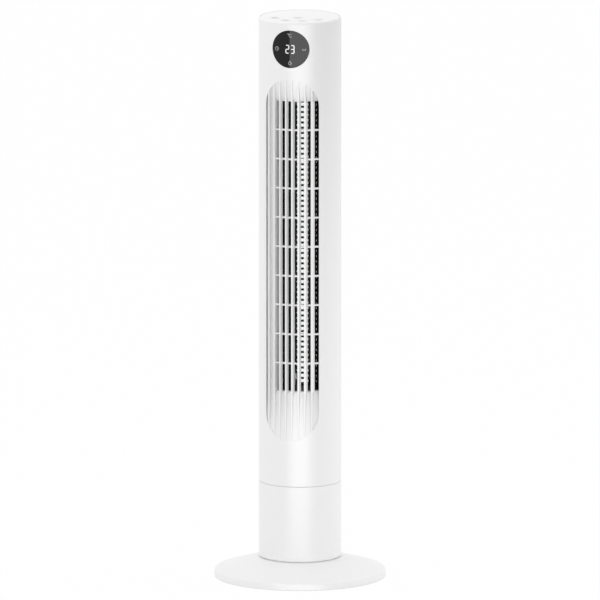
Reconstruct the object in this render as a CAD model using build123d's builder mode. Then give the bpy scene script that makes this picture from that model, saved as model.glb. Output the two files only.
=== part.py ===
from build123d import *
import os
from math import acos, cos, pi, radians, sin, tan

# Tower fan: a round column with a fluted outlet grille swings on a fixed pedestal and a round base.
# Millimetres, +Z up, front towards -Y, origin on the floor under the column axis.
# Angles named "from the front" run from -Y towards +X; "from the back" from +Y towards +X.

# Overall sizes
total_height = 921.5
column_radius = 67.0
base_radius = 140.0
pedestal_top = 157.0
swivel_gap = 0.4

# Walls and clearances shared by many pieces
shell_wall = 2.5
seat_clearance = 0.3
running_clearance = 0.05
press_clearance = 0.02
screw_clearance = 0.05
seam_gap = 0.2
edge_break = 0.5
seam_break = 0.25

# Base
foot_height = 0.5
foot_radius = 7.0
foot_seat_depth = 2.0
foot_boss_wall = 2.0
foot_inset = 30.0
foot_count = 6
foot_chamfer = 0.4
base_rim_height = 10.3
base_rim_draft = 1.6
base_rim_round = 3.0
base_lower_round = 0.6
base_hub_height = 31.7
base_wall = 2.5
rib_count = 8
rib_thickness = 2.0
rib_bottom = 6.0
rib_start = 50.0
neck_radius = 32.0
neck_wall = 4.0
neck_bottom = 10.0
nut_outer_radius = 45.0
nut_height = 14.0
nut_notch_radius = 3.0
nut_notch_count = 12

# Pedestal
foot_reveal = 2.0
reveal_inset = 3.0
pedestal_floor = 4.5
gland_height = 52.0
gland_radius = 6.0
gland_flange_radius = 8.5
gland_flange = 2.0
cord_hole_radius = 3.6
deck_thickness = 3.0
deck_boss_radius = 6.0
deck_boss_length = 24.0
deck_screw_inset = 8.0
deck_rim = 1.2
deck_rim_gap = 0.3
deck_screw_angles = (45, 135, 225, 315)
bearing_boss_radius = 19.0
bearing_boss_length = 12.0

# Swing drive
gear_module = 1.0
gear_teeth = 60
pinion_teeth = 15
pressure_angle = radians(25)
gear_backlash = 0.15
gear_root_ratio = 1.25
flank_steps = 3
gear_band = 10.0
gear_floor_gap = 1.2
gear_rim = 4.5
pivot_radius = 14.0
pivot_bore = 9.5
pivot_end_play = 0.5
turntable_thickness = 4.0
turntable_recess = 0.8
glide_thickness = 1.8
glide_play = 0.1
glide_inset = 11.0
glide_width = 5.0
retaining_thickness = 3.0
retaining_screw_circle = 11.75
retaining_screw_angles = (0, 120, 240)
retaining_hole_depth = 9.0
swing_motor_radius = 14.0
swing_motor_length = 19.0
swing_shaft_offset = 8.0
swing_shaft_radius = 2.5
swing_shaft_depth = 7.0
swing_collar_radius = 4.5
swing_collar_height = 2.4
swing_ear_span = 35.0
swing_ear_width = 8.0
swing_ear_thickness = 1.0
swing_boss_radius = 3.2
swing_boss_height = 5.0
pinion_hub_radius = 4.2
pinion_lift = 0.3

# Tower shells
rim_bevel = 2.0
cap_recess = 0.3
cap_thickness = 2.5
cap_chamfer = 0.2
ledge_depth = 3.5
ledge_thickness = 2.0
low_screw_rise = 27.6
middle_screw_drop = 33.0
high_screw_rise = 39.0
shell_screw_inset = 11.0
front_boss_radius = 4.5
rear_boss_radius = 5.5
counterbore_radius = 3.7
counterbore_floor = 8.0
boss_web = 2.4
boss_web_length = 15.0
tab_angles = (120, 180, 240)
tab_inset = 10.5
tab_width = 12.0
tab_thickness = 3.2

# Outlet grille on the front shell
grille_half_width = 44.2
slat_pitch = 10.35
slat_shift = -2.1
slat_thickness = 2.3
slat_count = 8
slat_tilt = 25.0
slat_depth = 5.2
closed_flutes = 2
frame_depth = 16.0
flute_depth = 7.0
flute_end_depth = 0.4
window_rise = 156.3
window_drop = 129.8
lower_flute_run = 80.6
upper_flute_run = 36.3
bar_count = 9
bar_height = 2.5
bar_recess = 4.5
bar_depth = 5.0
bar_bow_radius = 79.0
grille_wall = 3.0
cheek_reach = 4.5

# Air inlet on the rear shell
pill_width = 18.8
pill_height = 5.4
pill_pitch = 8.62
pill_margin = 7.2
pill_angles = (-10.3, 18.3, 46.9)
liner_wall = 1.7
liner_margin = 0.1
liner_from = -20.6
liner_to = 58.8

# Cross-flow blower
impeller_x = -8.0
impeller_y = 4.0
impeller_radius = 34.0
impeller_lower_gap = 6.0
impeller_upper_gap = 8.0
blade_count = 30
blade_depth = 8.0
blade_sweep = 12.0
blade_middle_sweep = 4.0
blade_thickness = 1.0
disc_thickness = 2.5
ring_count = 9
ring_thickness = 1.6
ring_overhang = 0.3
ring_lip = 1.0
hub_radius = 9.0
hub_length = 22.0
shaft_radius = 4.0
set_screw_radius = 2.0
set_screw_lift = 14.0
pin_grip = 16.0
duct_wall = 1.8
scroll_start_angle = -25.2
scroll_inlet_gap = 5.0
scroll_outlet_gap = 13.0
scroll_turns = (40.0, 75.0, 110.0, 140.0)
scroll_trim_angle = 45.0
tongue_gap = 1.9
tongue_nose_angle = -11.5
tongue_round = 4.0
tongue_back_angle = 60.3

# Bulkheads, top bearing and fan motor
bulkhead_thickness = 3.0
chamber_lower_margin = 12.0
chamber_upper_margin = 11.0
bush_wall = 2.4
bush_length = 9.0
holder_radius = 12.2
holder_length = 11.0
holder_flange = 1.5
holder_flange_radius = 14.5
bearing_seat_wall = 3.0
motor_radius = 38.0
motor_wall = 2.0
bell_height = 17.0
stack_height = 26.0
rotor_radius = 22.5
rotor_air_gap = 0.5
rotor_inset = 1.0
bell_boss_radius = 9.0
winding_inner = 25.0
winding_outer = 33.0
winding_height = 9.0
winding_round = 3.0
shaft_tail = 5.0
ear_circle = 44.0
ear_radius = 7.0
ear_angles = (45, 135, 225, 315)
grommet_radius = 6.0
grommet_neck = 3.8
grommet_flange = 3.0
grommet_bore = 2.2
plate_boss_radius = 5.0
plate_boss_length = 8.0

# Controls
button_radius = 8.0
button_flange = 1.5
button_flange_thickness = 1.2
button_round = 0.8
button_hang = 0.2
button_stem_radius = 1.6
button_stem_entry = 1.2
button_circle = 43.0
button_angles = (-58, -19, 19, 58)
centre_button_y = -13.0
board_thickness = 1.6
control_board_inset = 17.0
control_board_drop = 11.5
control_boss_radius = 3.2
control_screw_inset = 5.0
control_screw_angles = (90, 150, 210, 270)
switch_width = 6.2
switch_height = 4.4
switch_well = 3.4
lens_radius = 30.8
lens_margin = 12.2
lens_thickness = 1.5
lens_clearance = 0.15
lens_lip = 4.5
display_board_width = 44.0
display_board_edge = 3.5
display_board_round = 5.0
display_board_inset = 13.0
display_post_radius = 3.2
display_post_gap = 0.3
display_module_gap = 2.0
display_module_clearance = 2.0
power_board_width = 70.0
power_board_height = 44.0
power_board_rise = 27.8
power_board_inset = 27.0
power_post_radius = 3.5
power_post_spread = 26.0
capacitor_width = 37.0
capacitor_depth = 16.0
capacitor_height = 26.0
capacitor_round = 2.0

# Fasteners: head sizes are multiples of the shank radius, recess sizes and rounding of the head
small_screw_radius = 1.25
screw_radius = 1.5
motor_screw_radius = 1.95
pan_radius_ratio = 2.0
pan_height_ratio = 1.3
pan_round_ratio = 0.45
recess_length_ratio = 1.1
recess_width_ratio = 0.3
recess_depth_ratio = 0.55
pilot_share = 0.8
thread_share = 0.7

# Heights and radii that follow from the sizes above
shell_inner = column_radius - shell_wall
fitted_radius = shell_inner - seat_clearance
base_rim_top = foot_height + base_rim_height
base_rim_radius = base_radius - base_rim_draft
base_ceiling = base_hub_height - base_wall
hub_hole_radius = neck_radius + seat_clearance
tower_bottom = pedestal_top + swivel_gap
turntable_bottom = tower_bottom + turntable_recess
turntable_top = turntable_bottom + turntable_thickness
gear_bottom = turntable_bottom - gear_band
deck_top = gear_bottom - gear_floor_gap
deck_bottom = deck_top - deck_thickness
deck_rim_top = turntable_bottom - deck_rim_gap
glide_top = turntable_bottom - glide_play
glide_bottom = glide_top - glide_thickness
bearing_boss_bottom = deck_bottom - bearing_boss_length
pivot_bottom = bearing_boss_bottom - pivot_end_play
gear_distance = gear_module * (gear_teeth + pinion_teeth) / 2
swing_motor_x = gear_distance + swing_shaft_offset
foot_circle = base_radius - foot_inset
deck_screw_circle = column_radius - deck_screw_inset
glide_outer_radius = column_radius - glide_inset
glide_inner_radius = glide_outer_radius - glide_width
tab_circle = column_radius - tab_inset
cap_top = total_height - cap_recess
cap_bottom = cap_top - cap_thickness
slat_places = [slat_shift + slat_pitch * (k - (slat_count - 1) / 2) for k in range(slat_count)]
window_bottom = tower_bottom + window_rise
window_top = total_height - window_drop
flute_bottom = window_bottom - lower_flute_run
flute_top = window_top + upper_flute_run
grille_middle = (flute_bottom + flute_top) / 2
flute_root = column_radius - flute_depth
flute_end_radius = column_radius - flute_end_depth
frame_back = column_radius - frame_depth
window_left = slat_places[closed_flutes - 1] + slat_thickness / 2
window_right = grille_half_width
window_height = window_top - window_bottom
window_middle = (window_bottom + window_top) / 2
frame_left = window_left - grille_wall
frame_right = window_right + grille_wall
chamber_bottom = window_bottom - chamber_lower_margin
chamber_top = window_top + chamber_upper_margin
pill_first = chamber_bottom + pill_margin
pill_rows = int((chamber_top - pill_margin - pill_first) / pill_pitch) + 1
liner_outer = shell_inner - seat_clearance
liner_inner = liner_outer - liner_wall
motor_plate_bottom = chamber_bottom - bulkhead_thickness
grommet_top = motor_plate_bottom - plate_boss_length
motor_top = grommet_top - grommet_flange
stack_top = motor_top - bell_height
stack_bottom = stack_top - stack_height
motor_bottom = stack_bottom - bell_height
bush_radius = shaft_radius + running_clearance + bush_wall
grommet_bottom = motor_top - motor_wall - grommet_flange
impeller_bottom = chamber_bottom + impeller_lower_gap
impeller_top = chamber_top - impeller_upper_gap
shell_screw_offset = column_radius - shell_screw_inset
shell_screw_heights = (
    tower_bottom + low_screw_rise,
    chamber_bottom - middle_screw_drop,
    chamber_top + high_screw_rise,
)
shell_middle = column_radius - shell_wall / 2
front_boss_length = (shell_middle**2 - (shell_screw_offset + front_boss_radius) ** 2) ** 0.5
control_board_bottom = cap_bottom - control_board_drop
control_board_top = control_board_bottom + board_thickness
control_board_radius = column_radius - control_board_inset
control_screw_circle = control_board_radius - control_screw_inset
switch_top = control_board_top + switch_height
lens_height = total_height - lens_margin - lens_radius
lens_back = column_radius - lens_thickness
lens_opening = lens_radius - lens_lip
display_post_spread = lens_opening + display_post_gap + display_post_radius
display_board_height = 2 * (display_post_spread + display_board_edge)
display_module_radius = lens_opening - display_module_gap
display_module_front = (lens_back**2 - display_module_radius**2) ** 0.5 - display_module_clearance
display_board_front = column_radius - display_board_inset
power_board_middle = turntable_top + power_board_rise
power_board_back = column_radius - power_board_inset
front_limit = 2 * column_radius
impeller_axis = Axis((impeller_x, impeller_y, 0), (0, 0, 1))
impeller_section = Plane(origin=(impeller_x, impeller_y, 0), x_dir=(1, 0, 0), z_dir=(0, -1, 0))


def around(radius, angles, centre=(0.0, 0.0)):
    """Plan positions on a circle, at angles from the front."""
    return [
        (centre[0] + radius * sin(radians(angle)), centre[1] - radius * cos(radians(angle)))
        for angle in angles
    ]


def on_arc(radius, across):
    """Depth of the front of a circle round the column axis, at a distance across."""
    return -((radius**2 - across**2) ** 0.5)


def outward_plane(angle, height):
    """Plane through the column axis that looks outwards at an angle from the front, local y upwards."""
    turn = radians(angle)
    return Plane(origin=(0, 0, height), x_dir=(cos(turn), sin(turn), 0), z_dir=(sin(turn), -cos(turn), 0))


def radius_plane(angle):
    """Plane that holds the column axis: local x is the radius at an angle from the front."""
    turn = radians(angle)
    return Plane(origin=(0, 0, 0), x_dir=(sin(turn), -cos(turn), 0), z_dir=(-cos(turn), -sin(turn), 0))


def turned(corners, mode=Mode.ADD, plane=Plane.XZ, axis=Axis.Z, arc=360.0):
    """Revolve a closed outline of (radius, height) corners into the part being built."""
    with BuildSketch(plane) as outline:
        with BuildLine():
            Polyline(*corners, close=True)
        make_face()
    revolve(outline.sketch, axis=axis, revolution_arc=arc, mode=mode)


def raised(positions, radius, bottom, top, mode=Mode.ADD):
    """Extrude upright round bars or holes at plan positions into the part being built."""
    with BuildSketch(Plane.XY.offset(bottom)) as rounds:
        with Locations(*positions):
            Circle(radius)
    extrude(rounds.sketch, amount=top - bottom, mode=mode)


def pan_screw(shank_radius, length):
    """Pan-head screw with a cross recess: the head stands on the XY plane, the shank hangs below it."""
    head_radius = pan_radius_ratio * shank_radius
    head_height = pan_height_ratio * shank_radius
    recess_length = recess_length_ratio * head_radius
    recess_width = recess_width_ratio * head_radius
    with BuildPart() as screw:
        with BuildSketch():
            Circle(head_radius)
        extrude(amount=head_height)
        fillet(screw.edges().group_by(Axis.Z)[-1], pan_round_ratio * head_height)
        with BuildSketch(Plane.XY.offset(head_height)):
            Rectangle(recess_length, recess_width)
            Rectangle(recess_width, recess_length)
        extrude(amount=-recess_depth_ratio * head_height, mode=Mode.SUBTRACT)
        with BuildSketch():
            Circle(shank_radius)
        extrude(amount=-length)
    return screw.part


def gear_corners(teeth):
    """Corners of a spur gear with involute flanks, thinned by the backlash, first tooth on +X."""
    pitch_radius = gear_module * teeth / 2
    base_circle = pitch_radius * cos(pressure_angle)
    root_radius = pitch_radius - gear_root_ratio * gear_module
    tip_radius = pitch_radius + gear_module
    half_tooth = pi / (2 * teeth) - gear_backlash / (2 * pitch_radius)
    flank_start = max(root_radius, base_circle)
    flank = []
    if root_radius < base_circle:
        flank.append((root_radius, half_tooth + tan(pressure_angle) - pressure_angle))
    for step in range(flank_steps + 1):
        radius = flank_start + (tip_radius - flank_start) * step / flank_steps
        roll = acos(min(1.0, base_circle / radius))
        flank.append((radius, half_tooth + tan(pressure_angle) - pressure_angle - (tan(roll) - roll)))
    corners = []
    for tooth in range(teeth):
        middle = 2 * pi * tooth / teeth
        rising = [(radius, middle - angle) for radius, angle in flank]
        falling = [(radius, middle + angle) for radius, angle in reversed(flank)]
        corners += [(radius * cos(angle), radius * sin(angle)) for radius, angle in rising + falling]
    return corners


def scroll_point(turn):
    """Point of the scroll wall at an angle round the impeller from the back towards -X."""
    share = (turn - scroll_turns[0]) / (scroll_turns[-1] - scroll_turns[0])
    gap = scroll_inlet_gap + (scroll_outlet_gap - scroll_inlet_gap) * share
    reach = impeller_radius + gap
    return (impeller_x - reach * sin(radians(turn)), impeller_y + reach * cos(radians(turn)))


# Base: a shallow cone shell on rubber feet, stiffened by ribs
foot_places = around(foot_circle, [360 * k / foot_count for k in range(foot_count)])

with BuildSketch(Plane.XZ) as base_outline:
    with BuildLine():
        Polyline(
            (hub_hole_radius, foot_height),
            (base_radius, foot_height),
            (base_rim_radius, base_rim_top),
            (column_radius, base_hub_height),
            (hub_hole_radius, base_hub_height),
            close=True,
        )
    make_face()
    fillet(base_outline.vertices().sort_by_distance((base_rim_radius, base_rim_top, 0))[0], base_rim_round)
    fillet(base_outline.vertices().group_by(Axis.Y)[0].sort_by(Axis.X)[-1], base_lower_round)


def under_skin(depth):
    """Outline of the space under the base's top surface, at a depth below it."""
    return [
        (0, foot_height),
        (base_radius - depth, foot_height),
        (base_rim_radius - depth, base_rim_top - depth),
        (column_radius, base_hub_height - depth),
        (0, base_hub_height - depth),
    ]


# Ribs and foot bosses that reach half way into the base's wall
with BuildPart() as base_stiffeners:
    for k in range(rib_count):
        with BuildSketch(radius_plane(360 * (k + 0.5) / rib_count)):
            with Locations(((rib_start + base_radius) / 2, (rib_bottom + base_hub_height) / 2)):
                Rectangle(base_radius - rib_start, base_hub_height - rib_bottom)
        extrude(amount=rib_thickness / 2, both=True)
    raised(foot_places, foot_radius + seat_clearance + foot_boss_wall, foot_height, base_hub_height)
    turned(under_skin(base_wall / 2), mode=Mode.INTERSECT)

with BuildPart() as base_cover:
    revolve(base_outline.sketch, axis=Axis.Z)
    turned(under_skin(base_wall), mode=Mode.SUBTRACT)
    add(base_stiffeners.part)
    raised(
        foot_places,
        foot_radius + seat_clearance,
        foot_height,
        foot_height + foot_seat_depth,
        mode=Mode.SUBTRACT,
    )

with BuildPart() as rubber_feet:
    raised(foot_places, foot_radius, 0, foot_height + foot_seat_depth)
    chamfer(rubber_feet.edges().group_by(Axis.Z)[0], foot_chamfer)

# Ring nut that draws the pedestal neck down through the base
with BuildPart() as base_nut:
    raised([(0, 0)], nut_outer_radius, base_ceiling - nut_height, base_ceiling)
    raised([(0, 0)], hub_hole_radius, base_ceiling - nut_height, base_ceiling, mode=Mode.SUBTRACT)
    raised(
        around(nut_outer_radius, [360 * k / nut_notch_count for k in range(nut_notch_count)]),
        nut_notch_radius,
        base_ceiling - nut_height,
        base_ceiling,
        mode=Mode.SUBTRACT,
    )

# Pedestal: cylinder shell with a stepped foot and a neck
reveal_radius = column_radius - reveal_inset
deck_screw_places = around(deck_screw_circle, deck_screw_angles)

with BuildPart() as pedestal_shell:
    turned(
        [
            (neck_radius - neck_wall, neck_bottom),
            (neck_radius, neck_bottom),
            (neck_radius, base_hub_height),
            (reveal_radius, base_hub_height),
            (reveal_radius, base_hub_height + foot_reveal),
            (column_radius, base_hub_height + foot_reveal),
            (column_radius, pedestal_top - seam_break),
            (column_radius - seam_break, pedestal_top),
            (shell_inner, pedestal_top),
            (shell_inner, base_hub_height + pedestal_floor),
            (neck_radius - neck_wall, base_hub_height + pedestal_floor),
        ]
    )
    raised(deck_screw_places, deck_boss_radius, deck_bottom - deck_boss_length, deck_bottom)
    raised(
        deck_screw_places,
        screw_radius + screw_clearance,
        deck_bottom - pilot_share * deck_boss_length,
        deck_bottom,
        mode=Mode.SUBTRACT,
    )
    with BuildSketch(outward_plane(180, gland_height)):
        Circle(gland_radius + screw_clearance)
    extrude(amount=front_limit, mode=Mode.SUBTRACT)

# Rubber gland where the supply lead enters
gland_section = Plane(origin=(0, 0, gland_height), x_dir=(0, 1, 0), z_dir=(1, 0, 0))
gland_axis = Axis((0, 0, gland_height), (0, 1, 0))
gland_inside = (shell_inner**2 - gland_flange_radius**2) ** 0.5 - press_clearance
gland_outside = column_radius + press_clearance

with BuildPart() as cord_gland:
    turned(
        [
            (gland_inside - gland_flange, cord_hole_radius),
            (gland_outside + gland_flange, cord_hole_radius),
            (gland_outside + gland_flange, gland_radius),
            (gland_outside + gland_flange / 2, gland_flange_radius),
            (gland_outside, gland_flange_radius),
            (gland_outside, gland_radius),
            (gland_inside, gland_radius),
            (gland_inside, gland_flange_radius),
            (gland_inside - gland_flange, gland_flange_radius),
        ],
        plane=gland_section,
        axis=gland_axis,
    )

# Deck that closes the pedestal and carries the swivel bearing
swing_screw_places = [(swing_motor_x, side * swing_ear_span / 2) for side in (-1, 1)]
swing_shaft_place = [(gear_distance, 0)]
pivot_bearing = pivot_radius + running_clearance

with BuildPart() as pedestal_deck:
    turned(
        [
            (pivot_bearing, bearing_boss_bottom),
            (bearing_boss_radius, bearing_boss_bottom),
            (bearing_boss_radius, deck_bottom),
            (fitted_radius, deck_bottom),
            (fitted_radius, deck_rim_top),
            (fitted_radius - deck_rim, deck_rim_top),
            (fitted_radius - deck_rim, deck_top),
            (glide_outer_radius, deck_top),
            (glide_outer_radius, glide_bottom),
            (glide_inner_radius, glide_bottom),
            (glide_inner_radius, deck_top),
            (pivot_bearing, deck_top),
        ]
    )
    raised(swing_screw_places, swing_boss_radius, deck_top, deck_top + swing_boss_height)
    raised(
        deck_screw_places, screw_radius + screw_clearance, deck_bottom, deck_top, mode=Mode.SUBTRACT
    )
    raised(
        swing_screw_places,
        small_screw_radius + screw_clearance,
        deck_bottom,
        deck_top + swing_boss_height,
        mode=Mode.SUBTRACT,
    )
    raised(
        swing_shaft_place,
        swing_collar_radius + seat_clearance,
        deck_bottom,
        deck_top,
        mode=Mode.SUBTRACT,
    )

screw = pan_screw(screw_radius, deck_thickness + thread_share * deck_boss_length)
with BuildPart() as deck_screws:
    with Locations(*[(x, y, deck_top) for x, y in deck_screw_places]):
        add(screw)

with BuildPart() as glide_ring:
    raised([(0, 0)], glide_outer_radius, glide_bottom, glide_top)
    raised([(0, 0)], glide_inner_radius, glide_bottom, glide_top, mode=Mode.SUBTRACT)

# Geared swing motor under the deck
swing_shaft_bottom = deck_bottom - swing_shaft_depth
swing_collar_top = deck_bottom + swing_collar_height

with BuildPart() as swing_motor:
    raised([(swing_motor_x, 0)], swing_motor_radius, deck_bottom - swing_motor_length, deck_bottom)
    fillet(swing_motor.edges().group_by(Axis.Z)[0], 2 * edge_break)
    with BuildSketch(Plane.XY.offset(deck_bottom)):
        with Locations((swing_motor_x, 0)):
            SlotCenterToCenter(swing_ear_span, swing_ear_width, rotation=90)
    extrude(amount=-swing_ear_thickness)
    raised(swing_shaft_place, swing_collar_radius, deck_bottom, swing_collar_top)
    raised(
        swing_shaft_place,
        swing_shaft_radius + running_clearance,
        swing_shaft_bottom,
        swing_collar_top,
        mode=Mode.SUBTRACT,
    )
    raised(
        swing_screw_places,
        small_screw_radius + screw_clearance,
        deck_bottom - swing_ear_thickness,
        deck_bottom,
        mode=Mode.SUBTRACT,
    )

swing_screw_length = swing_ear_thickness + deck_thickness + thread_share * swing_boss_height
screw = pan_screw(small_screw_radius, swing_screw_length)
with BuildPart() as swing_motor_screws:
    for x, y in swing_screw_places:
        with Locations(Plane(origin=(x, y, deck_bottom - swing_ear_thickness), z_dir=(0, 0, -1))):
            add(screw)

# Pinion on the swing motor's shaft, in mesh with the turntable gear
pinion_bottom = gear_bottom + pinion_lift
pinion_top = turntable_bottom - gear_floor_gap

with BuildPart() as swing_pinion:
    with BuildSketch(Plane.XY.offset(pinion_bottom)):
        with BuildLine():
            Polyline(*[(x + gear_distance, y) for x, y in gear_corners(pinion_teeth)], close=True)
        make_face()
    extrude(amount=pinion_top - pinion_bottom)
    raised(swing_shaft_place, pinion_hub_radius, swing_collar_top + seat_clearance, pinion_bottom)
    raised(
        swing_shaft_place,
        swing_shaft_radius + press_clearance,
        swing_collar_top,
        pinion_top,
        mode=Mode.SUBTRACT,
    )

with BuildPart() as swing_motor_shaft:
    raised(swing_shaft_place, swing_shaft_radius, swing_shaft_bottom + seat_clearance, pinion_top)

# Turntable: floor of the tower with a hollow pivot and the swing gear
retaining_places = around(retaining_screw_circle, retaining_screw_angles)
tab_places = around(tab_circle, tab_angles)

with BuildPart() as turntable:
    turned(
        [
            (pivot_bore, pivot_bottom),
            (pivot_radius, pivot_bottom),
            (pivot_radius, turntable_bottom),
            (fitted_radius, turntable_bottom),
            (fitted_radius, turntable_top),
            (pivot_bore, turntable_top),
        ]
    )
    with BuildSketch(Plane.XY.offset(gear_bottom)):
        with BuildLine():
            Polyline(*gear_corners(gear_teeth), close=True)
        make_face()
        Circle(gear_module * gear_teeth / 2 - gear_rim, mode=Mode.SUBTRACT)
    extrude(amount=gear_band)
    raised(
        retaining_places,
        small_screw_radius + screw_clearance,
        pivot_bottom,
        pivot_bottom + retaining_hole_depth,
        mode=Mode.SUBTRACT,
    )
    raised(
        tab_places, screw_radius + screw_clearance, turntable_bottom, turntable_top, mode=Mode.SUBTRACT
    )

with BuildPart() as retaining_plate:
    raised([(0, 0)], bearing_boss_radius, pivot_bottom - retaining_thickness, pivot_bottom)
    raised(
        [(0, 0)], pivot_bore, pivot_bottom - retaining_thickness, pivot_bottom, mode=Mode.SUBTRACT
    )
    raised(
        retaining_places,
        small_screw_radius + screw_clearance,
        pivot_bottom - retaining_thickness,
        pivot_bottom,
        mode=Mode.SUBTRACT,
    )

screw = pan_screw(small_screw_radius, retaining_thickness + thread_share * retaining_hole_depth)
with BuildPart() as retaining_screws:
    for x, y in retaining_places:
        with Locations(Plane(origin=(x, y, pivot_bottom - retaining_thickness), z_dir=(0, 0, -1))):
            add(screw)

screw = pan_screw(screw_radius, tab_thickness + thread_share * turntable_thickness)
with BuildPart() as turntable_screws:
    with Locations(*[(x, y, turntable_top + tab_thickness) for x, y in tab_places]):
        add(screw)

# Common section of the two tower shells: wall, floor rib and cap ledge
ledge_inner = shell_inner - ledge_depth

with BuildSketch(Plane.XZ) as shell_outline:
    with BuildLine():
        Polyline(
            (shell_inner, tower_bottom),
            (column_radius - seam_break, tower_bottom),
            (column_radius, tower_bottom + seam_break),
            (column_radius, total_height - rim_bevel),
            (column_radius - rim_bevel, total_height),
            (shell_inner, total_height),
            (shell_inner, cap_bottom),
            (ledge_inner, cap_bottom),
            (ledge_inner, cap_bottom - ledge_thickness),
            (shell_inner, cap_bottom - ledge_thickness),
            (shell_inner, turntable_top + ledge_thickness),
            (ledge_inner, turntable_top + ledge_thickness),
            (ledge_inner, turntable_top),
            (shell_inner, turntable_top),
            close=True,
        )
    make_face()


def stadium(margin=0.0):
    """Round-ended outline of the grille, drawn into the sketch being built."""
    with Locations((0, grille_middle)):
        SlotOverall(flute_top - flute_bottom + 2 * margin, 2 * (grille_half_width + margin), rotation=90)


def leave_slats():
    """Take the slats out of the sketch being built, so that only the gaps between them remain."""
    with Locations(*[(place, grille_middle) for place in slat_places]):
        Rectangle(slat_thickness, front_limit + flute_top - flute_bottom, mode=Mode.SUBTRACT)


def curved_disc(inner_radius, outer_radius, disc_radius):
    """Round plate bent round the column at the display's height, built into the current part."""
    low = lens_height - 2 * disc_radius
    high = lens_height + 2 * disc_radius
    turned([(inner_radius, low), (outer_radius, low), (outer_radius, high), (inner_radius, high)])
    with BuildSketch(Plane.XZ) as round_outline:
        with Locations((0, lens_height)):
            Circle(disc_radius)
    extrude(round_outline.sketch, amount=front_limit, mode=Mode.INTERSECT)


# Volume of the flutes: cut to full depth beside the window, running out to a low step at both ends
with BuildPart() as flutes:
    turned(
        [
            (flute_end_radius, flute_bottom),
            (flute_root, window_bottom),
            (flute_root, window_top),
            (flute_end_radius, flute_top),
            (front_limit, flute_top),
            (front_limit, flute_bottom),
        ]
    )
    with BuildSketch(Plane.XZ):
        stadium()
        leave_slats()
    extrude(amount=front_limit, mode=Mode.INTERSECT)

# Floor behind the flutes
with BuildPart() as flute_floor:
    turned(
        [
            (shell_middle, flute_bottom - grille_wall),
            (column_radius - grille_wall, flute_bottom),
            (flute_root - grille_wall, window_bottom),
            (flute_root - grille_wall, window_top),
            (column_radius - grille_wall, flute_top),
            (shell_middle, flute_top + grille_wall),
        ]
    )
    with BuildSketch(Plane.XZ):
        stadium(grille_wall)
    extrude(amount=front_limit, mode=Mode.INTERSECT)

# Deep frame round the open window
with BuildPart() as outlet_frame:
    turned(
        [
            (frame_back, window_bottom - grille_wall),
            (flute_root, window_bottom - grille_wall),
            (flute_root, window_top + grille_wall),
            (frame_back, window_top + grille_wall),
        ]
    )
    with BuildSketch(Plane.XZ):
        with Locations(((frame_left + frame_right) / 2, window_middle)):
            Rectangle(frame_right - frame_left, window_height + 2 * grille_wall)
    extrude(amount=front_limit, mode=Mode.INTERSECT)

# Cheek of the outlet: a wedge that leads from the scroll wall to the window's left edge
cheek_tip = window_left + cheek_reach

with BuildPart() as outlet_cheek:
    with BuildSketch(Plane.XY.offset(window_bottom - edge_break)):
        with BuildLine():
            Polyline(
                (window_left - grille_wall / 2, on_arc(flute_root, window_left)),
                (window_left, on_arc(flute_root, window_left)),
                (cheek_tip, on_arc(frame_back, cheek_tip)),
                (window_left - grille_wall / 2, on_arc(frame_back, cheek_tip)),
                close=True,
            )
        make_face()
    extrude(amount=window_height + 2 * edge_break)

# Thin bowed bars that tie the slats across the open window, flatter than the column
bar_centre = bar_bow_radius - column_radius + bar_recess
bar_back = bar_bow_radius - bar_depth
bar_left = slat_places[closed_flutes - 1]
bar_gap = (window_height - bar_count * bar_height) / (bar_count + 1)
bar_section = Plane(origin=(0, bar_centre, 0), x_dir=(1, 0, 0), z_dir=(0, -1, 0))
bar_axis = Axis((0, bar_centre, 0), (0, 0, 1))

with BuildPart() as cross_bars:
    for k in range(bar_count):
        low = window_bottom + bar_gap + k * (bar_gap + bar_height)
        high = low + bar_height
        turned(
            [(bar_back, low), (bar_bow_radius, low), (bar_bow_radius, high), (bar_back, high)],
            plane=bar_section,
            axis=bar_axis,
        )
    with BuildSketch(Plane.XZ):
        with Locations(((bar_left + window_right) / 2, window_middle)):
            Rectangle(window_right - bar_left, window_height)
    extrude(amount=front_limit, mode=Mode.INTERSECT)


def slat_corner(place, side, run):
    """Plan corner of a tilted slat, at a run along it from the column's surface."""
    tilt = radians(slat_tilt)
    return (
        place + side * slat_thickness / 2 + run * sin(tilt),
        on_arc(column_radius, place) + run * cos(tilt),
    )


# Slats of the open window, tilted so that the air leaves towards one side
slat_run = slat_depth / cos(radians(slat_tilt))

with BuildPart() as outlet_slats:
    with BuildSketch(Plane.XY.offset(window_bottom - edge_break)):
        for place in slat_places[closed_flutes - 1 :]:
            with BuildLine():
                Polyline(
                    slat_corner(place, -1, -slat_depth),
                    slat_corner(place, 1, -slat_depth),
                    slat_corner(place, 1, slat_run),
                    slat_corner(place, -1, slat_run),
                    close=True,
                )
            make_face()
    extrude(amount=window_height + 2 * edge_break)
    turned(
        [(0, 0), (column_radius, 0), (column_radius, total_height), (0, total_height)],
        mode=Mode.INTERSECT,
    )

with BuildPart() as lens_seat:
    curved_disc(lens_back - lens_clearance, front_limit, lens_radius + lens_clearance)

# Front shell with the grille, the display seat and the screw bosses
display_posts = [(0, lens_height - display_post_spread), (0, lens_height + display_post_spread)]
shell_screw_places = [
    (side * shell_screw_offset, height) for height in shell_screw_heights for side in (-1, 1)
]
web_width = shell_inner + edge_break - shell_screw_offset
web_places = [
    (side * (shell_screw_offset + web_width / 2), height)
    for height in shell_screw_heights
    for side in (-1, 1)
]
seam_front = Plane.XZ.offset(seam_gap / 2)
seam_back = Plane.XZ.offset(-seam_gap / 2)

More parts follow.
